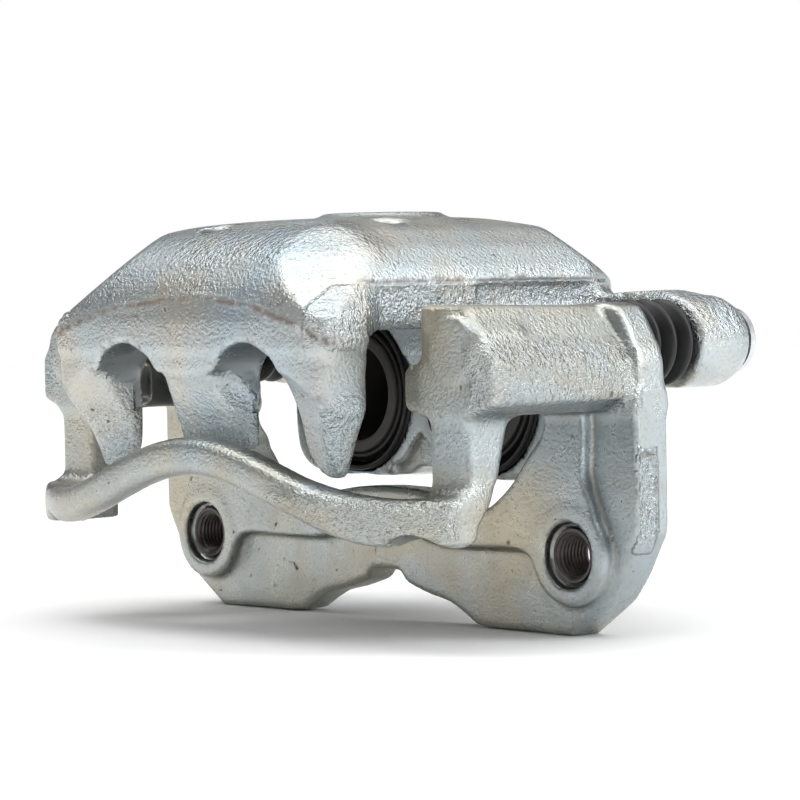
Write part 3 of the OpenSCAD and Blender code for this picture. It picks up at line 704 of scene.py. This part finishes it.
def zinc(name, cool, warm, blue, rough, grain):
    """Zinc plate on rough cast iron: grainy skin, faint yellow and blue passivation, brown specks."""
    m, t, b = material(name)
    where = t.nodes.new("ShaderNodeTexCoord").outputs["Object"]
    big = noise(t, where, 26, 3, 0.6)
    mid = noise(t, where, 95, 4, 0.6, 0.4)
    big2 = noise(t, where, 17, 2, 0.5, 0.8)
    fine_n = noise(t, where, 1700, 4, 0.65)
    grain_n = noise(t, where, 1050, 3, 0.6)
    coarse_n = noise(t, where, 720, 3, 0.62)
    pits = noise(t, where, 330, 2, 0.5)
    machined, coarse, fine = attr(t, "machined"), attr(t, "coarse"), attr(t, "fine")
    seam, bend = attr(t, "seam"), attr(t, "bend")
    col = mix(t, grey(t, big, 0.40, 0.66), cool, warm)
    col = mix(t, math_(t, "MULTIPLY", grey(t, big2, 0.50, 0.72), 0.7), col, blue)
    col = mix(t, math_(t, "MULTIPLY", grey(t, mid, 0.52, 0.80), 0.45), col, tuple(v * 0.72 for v in warm))
    # Dark flecks in the low spots of the grain, brown specks scattered over it
    fleck = math_(t, "MULTIPLY", grey(t, grain_n, 0.45, 0.30), 0.38, True)
    col = mix(t, fleck, col, tuple(v * 0.35 for v in cool))
    speck = grey(t, pits, 0.70, 0.75)
    speck = math_(t, "MULTIPLY", speck, grey(t, mid, 0.35, 0.6), True)
    line = math_(t, "MULTIPLY", seam, grey(t, noise(t, where, 260, 3, 0.7), 0.40, 0.52), True)
    sharp = grey(t, bend, 0.035, 0.10)
    edge = math_(t, "MULTIPLY", sharp, grey(t, noise(t, where, 210, 4, 0.7), 0.50, 0.62), True)
    dirt = math_(t, "MAXIMUM", math_(t, "MAXIMUM", speck, line), math_(t, "MULTIPLY", edge, 0.6), True)
    col = mix(t, math_(t, "MULTIPLY", dirt, 0.85), col, (0.115, 0.07, 0.045))
    # Painted shade: the colour darkens towards a dark warm tone in concave corners, where the surface
    # bends inward
    painted_corner_shade = grey(t, bend, -0.02, -0.09)
    col = mix(t, math_(t, "MULTIPLY", painted_corner_shade, 0.45), col, tuple(v * 0.45 for v in warm))
    col = mix(t, math_(t, "MULTIPLY", machined, 0.75), col, tuple(v * 0.62 for v in cool))
    t.links.new(col, b.inputs["Base Color"])
    metal = math_(t, "MULTIPLY_ADD", dirt, -0.75)
    metal.node.inputs[2].default_value = 0.97
    t.links.new(metal, b.inputs["Metallic"])
    r = math_(t, "ADD", math_(t, "MULTIPLY", grey(t, mid, 0.3, 0.7), 0.14), rough)
    r = math_(t, "ADD", r, math_(t, "MULTIPLY", dirt, 0.3))
    r = math_(t, "SUBTRACT", r, math_(t, "MULTIPLY", coarse, 0.13))
    t.links.new(r, b.inputs["Roughness"])
    # The grain: fine everywhere, coarser where the sand left its mark
    low = math_(t, "MULTIPLY", grain_n, math_(t, "SUBTRACT", 1.0, math_(t, "MULTIPLY", fine, 0.45)))
    high = math_(t, "ADD", low, math_(t, "MULTIPLY", math_(t, "MULTIPLY", coarse_n, coarse), 3.0))
    high = math_(t, "ADD", high, math_(t, "MULTIPLY", fine_n, 0.30))
    high = math_(t, "SUBTRACT", high, math_(t, "MULTIPLY", speck, 0.5))
    high = math_(t, "MULTIPLY", high, math_(t, "SUBTRACT", 1.0, math_(t, "MULTIPLY", machined, 0.85)))
    bump = node(t, "ShaderNodeBump", Strength=1.0, Distance=grain)
    t.links.new(high, bump.inputs["Height"])
    t.links.new(bump.outputs[0], b.inputs["Normal"])
    return m


def plain(name, colour, metallic, rough, scale, depth, vary, spec=0.5):
    """A smooth material: its colour and gloss vary a little, with a faint grain."""
    m, t, b = material(name)
    where = t.nodes.new("ShaderNodeTexCoord").outputs["Object"]
    n1 = noise(t, where, scale, 4, 0.6)
    n2 = noise(t, where, scale / 9, 3, 0.6)
    dim = tuple(v * (1 - vary) for v in colour)
    bright = tuple(min(1, v * (1 + vary)) for v in colour)
    col = mix(t, grey(t, n2, 0.3, 0.7), dim, bright)
    col = mix(t, math_(t, "MULTIPLY", grey(t, n1, 0.62, 0.75), 0.35), col, tuple(v * 0.5 for v in colour))
    t.links.new(col, b.inputs["Base Color"])
    b.inputs["Metallic"].default_value = metallic
    b.inputs["Specular IOR Level"].default_value = spec
    t.links.new(math_(t, "ADD", math_(t, "MULTIPLY", n2, 0.16), rough - 0.08), b.inputs["Roughness"])
    bump = node(t, "ShaderNodeBump", Strength=1.0, Distance=depth)
    t.links.new(n1, bump.inputs["Height"])
    t.links.new(bump.outputs[0], b.inputs["Normal"])
    return m


ZINC_ROUGHNESS, ZINC_GRAIN = 0.23, 0.00034
ZINC_BRACKET = zinc("zinc_bracket", (0.44, 0.465, 0.45), (0.50, 0.455, 0.35),
                    (0.39, 0.46, 0.505), ZINC_ROUGHNESS, ZINC_GRAIN)
ZINC_HOUSING = zinc("zinc_housing", (0.49, 0.545, 0.565), (0.56, 0.53, 0.46),
                    (0.39, 0.50, 0.575), ZINC_ROUGHNESS, ZINC_GRAIN)
RUBBER = plain("rubber", (0.012, 0.012, 0.013), 0.0, 0.42, 700, 0.00003, 0.3, 0.4)
PISTON = plain("piston_resin", (0.040, 0.036, 0.033), 0.0, 0.45, 500, 0.00003, 0.3, 0.5)
STEEL = plain("pin_steel", (0.58, 0.60, 0.61), 1.0, 0.33, 500, 0.00004, 0.12)
THREAD = plain("oiled_thread", (0.085, 0.075, 0.068), 0.6, 0.38, 500, 0.00004, 0.35)
DARK = plain("dark_steel", (0.035, 0.033, 0.032), 0.6, 0.45, 500, 0.00004, 0.3)
YELLOW = plain("yellow_zinc", (0.56, 0.50, 0.34), 1.0, 0.34, 500, 0.00004, 0.2)


def coat(name, mat):
    """Gives a node of the CAD model, which stays as it is, its material."""
    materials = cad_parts[name].data.materials
    materials.clear()
    materials.append(mat)


def dress(ob, mat, body, nodes=()):
    """Material, body, slot and replaced nodes of a new piece. With a tuple for body, its transform is
    baked in and it joins no body.
    """
    ob.data.materials.clear()
    ob.data.materials.append(mat)
    if isinstance(body, tuple):
        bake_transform(ob)
    else:
        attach(ob, body)
    if nodes:
        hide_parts(*nodes)
    return ob


dress(bracket_casting(), ZINC_BRACKET, "bracket", ("bracket",))
dress(housing_casting(), ZINC_HOUSING, "caliper", ("caliper_housing",))

for tag, sx in (("left", -1), ("right", 1)):
    thread = thread_liner("mount_thread_" + tag, sx * BOLT, 0, 6.2, 5.3, 1.25, -12.2, -0.3, 7.0)
    dress(thread, THREAD, "bracket")
    x = sx * PISTON_X
    rim = [(13.4, 3.4)] + arc(14.2, 3.0, 0.8, 180, 270, 4) + arc(16.2, 3.0, 0.8, 270, 360, 4)
    prof = rim + [(17, 5.0), (15.6, 5.1), (15.6, 7.4), (17, 7.5), (17, 40.5), (15.5, 42),
                  (0.0, 42), (0.0, 36), (13.0, 36)]
    dress(turned("piston_" + tag + "_body", prof, x, PISTON_Z, 128), PISTON,
          "piston_" + tag, ("piston_" + tag,))
    # The boot: a lip in the piston's groove, a bead in the housing, and folds between them
    lip = [(15.7, 5.2), (15.7, 7.2), (17.5, 7.2)] + arc(17.6, 3.6, 0.55, 60, -90, 5)
    lip += [(17.1, 3.3), (17.1, 5.2)]
    dress(turned("boot_lip_" + tag, lip, x, PISTON_Z, 128), RUBBER, "piston_" + tag)
    bead = [(20.3, 8.2), (20.3, 10.4), (22.1, 10.4), (22.1, 3.6), (21.5, 3.1), (20.9, 3.5), (20.9, 7.6)]
    dress(turned("boot_bead_" + tag, bead, x, PISTON_Z, 128), RUBBER, "caliper")
    front = [(17.5, 3.2), (18.0, 3.0), (18.5, 3.3), (18.6, 5.0), (18.9, 5.3), (19.2, 4.7), (19.6, 4.4),
             (20.0, 4.8), (20.1, 6.8), (20.4, 7.2), (20.7, 7.6), (20.9, 8.4)]
    behind = [(r - 0.1, y + 0.8) for r, y in front[::-1]]
    dress(turned("boot_folds_" + tag, front + behind, x, PISTON_Z, 128, 60), RUBBER,
          ("piston_" + tag, "caliper", 3.4, 8.2), ("piston_boot_" + tag,))
    wire = [(21.3 + 0.68 * math.cos(k * math.pi / 8), 2.35 + 0.68 * math.sin(k * math.pi / 8))
            for k in range(16)]
    dress(turned("boot_ring_" + tag + "_wire", wire, x, PISTON_Z, 128), DARK,
          "caliper", ("boot_ring_" + tag,))
    coat("piston_seal_" + tag, RUBBER)

for pin, boot_name, sx in (("guide_pin", "guide_pin_boot", 1), ("lock_pin", "lock_pin_boot", -1)):
    coat(pin, STEEL)
    start, fold = 1.5, (19.5 - 1.5) / 3
    outer = []
    for i in range(3):
        c = start + (i + 0.5) * fold
        outer += [(7.7, c - 2.75)] + arc(10.3, c, 1.15, -70, 70, 6) + [(7.7, c + 2.75)]
    inner = [(r - 1.0, y) for r, y in outer[::-1]]
    prof = [(5.3, -3.8), (7.0, -3.8), (7.0, 1.2)] + outer
    prof += [(7.0, 19.6), (7.0, 24.8), (5.3, 24.8), (5.3, 19.4)] + inner + [(5.3, 1.6)]
    dress(turned(boot_name + "_skin", prof, sx * PIN_X, PIN_Z, 96, 40), RUBBER,
          ("bracket", "caliper", 1.2, 19.6), (boot_name,))
for name, mat in (("lock_pin_bushing", RUBBER), ("bleeder_screw", YELLOW),
                  ("bleeder_cap", RUBBER), ("passage_plug", YELLOW)):
    coat(name, mat)

# ------------------------------------------------------------------ floor and light
floor_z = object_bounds()[0][2]
mesh = bpy.data.meshes.new("floor")
FLOOR_HALF, FLOOR_GAP = 3.0, 0.0002
corners = [(i * FLOOR_HALF, j * FLOOR_HALF) for i, j in ((-1, -1), (1, -1), (1, 1), (-1, 1))]
mesh.from_pydata([(x, y, floor_z - FLOOR_GAP) for x, y in corners], [], [(0, 1, 2, 3)])
floor = bpy.data.objects.new("floor", mesh)
bpy.context.scene.collection.objects.link(floor)
m, t, b = material("floor_white")
b.inputs["Base Color"].default_value = (0.93, 0.93, 0.93, 1)
b.inputs["Roughness"].default_value = 0.9
b.inputs["Specular IOR Level"].default_value = 0.1
floor.data.materials.append(m)

world = bpy.data.worlds.new("studio")
bpy.context.scene.world = world
bpy.context.scene.view_settings.view_transform = "Standard"
world.use_nodes = True
wt = world.node_tree
wt.nodes.clear()
wo = wt.nodes.new("ShaderNodeOutputWorld")
bg = wt.nodes.new("ShaderNodeBackground")
# White at the horizon, a dim band above it and a bright ceiling, so that metal has something to mirror
split = wt.nodes.new("ShaderNodeSeparateXYZ")
wt.links.new(wt.nodes.new("ShaderNodeTexCoord").outputs["Generated"], split.inputs[0])
WHITE = (1.0, 1.0, 1.0)
shade = ramp(wt, split.outputs[2], [(0.0, WHITE), (0.13, WHITE), (0.19, (0.13, 0.135, 0.14)),
                                    (0.58, (0.10, 0.105, 0.11)), (0.76, WHITE), (1.0, WHITE)])
wt.links.new(shade, bg.inputs[0])
overhead = grey(wt, split.outputs[2], 0.6, 0.8)
wt.links.new(math_(wt, "ADD", 1.0, overhead), bg.inputs[1])
wt.links.new(bg.outputs[0], wo.inputs[0])


def lamp(name, where, target, size, power):
    """A white rectangular lamp of (width, height) at where, turned to target."""
    d = bpy.data.lights.new(name, "AREA")
    d.shape = "RECTANGLE"
    d.size, d.size_y = size
    d.energy = power
    o = bpy.data.objects.new(name, d)
    bpy.context.scene.collection.objects.link(o)
    o.location = where
    o.rotation_euler = (Vector(target) - Vector(where)).to_track_quat("-Z", "Y").to_euler()


MIDDLE = (0, 0, 0.05)
lamp("key", (-0.5, -0.5, 1.2), MIDDLE, (0.4, 0.8), 4.0)
lamp("rim", (0.9, 0.5, 0.6), MIDDLE, (0.35, 0.9), 7)
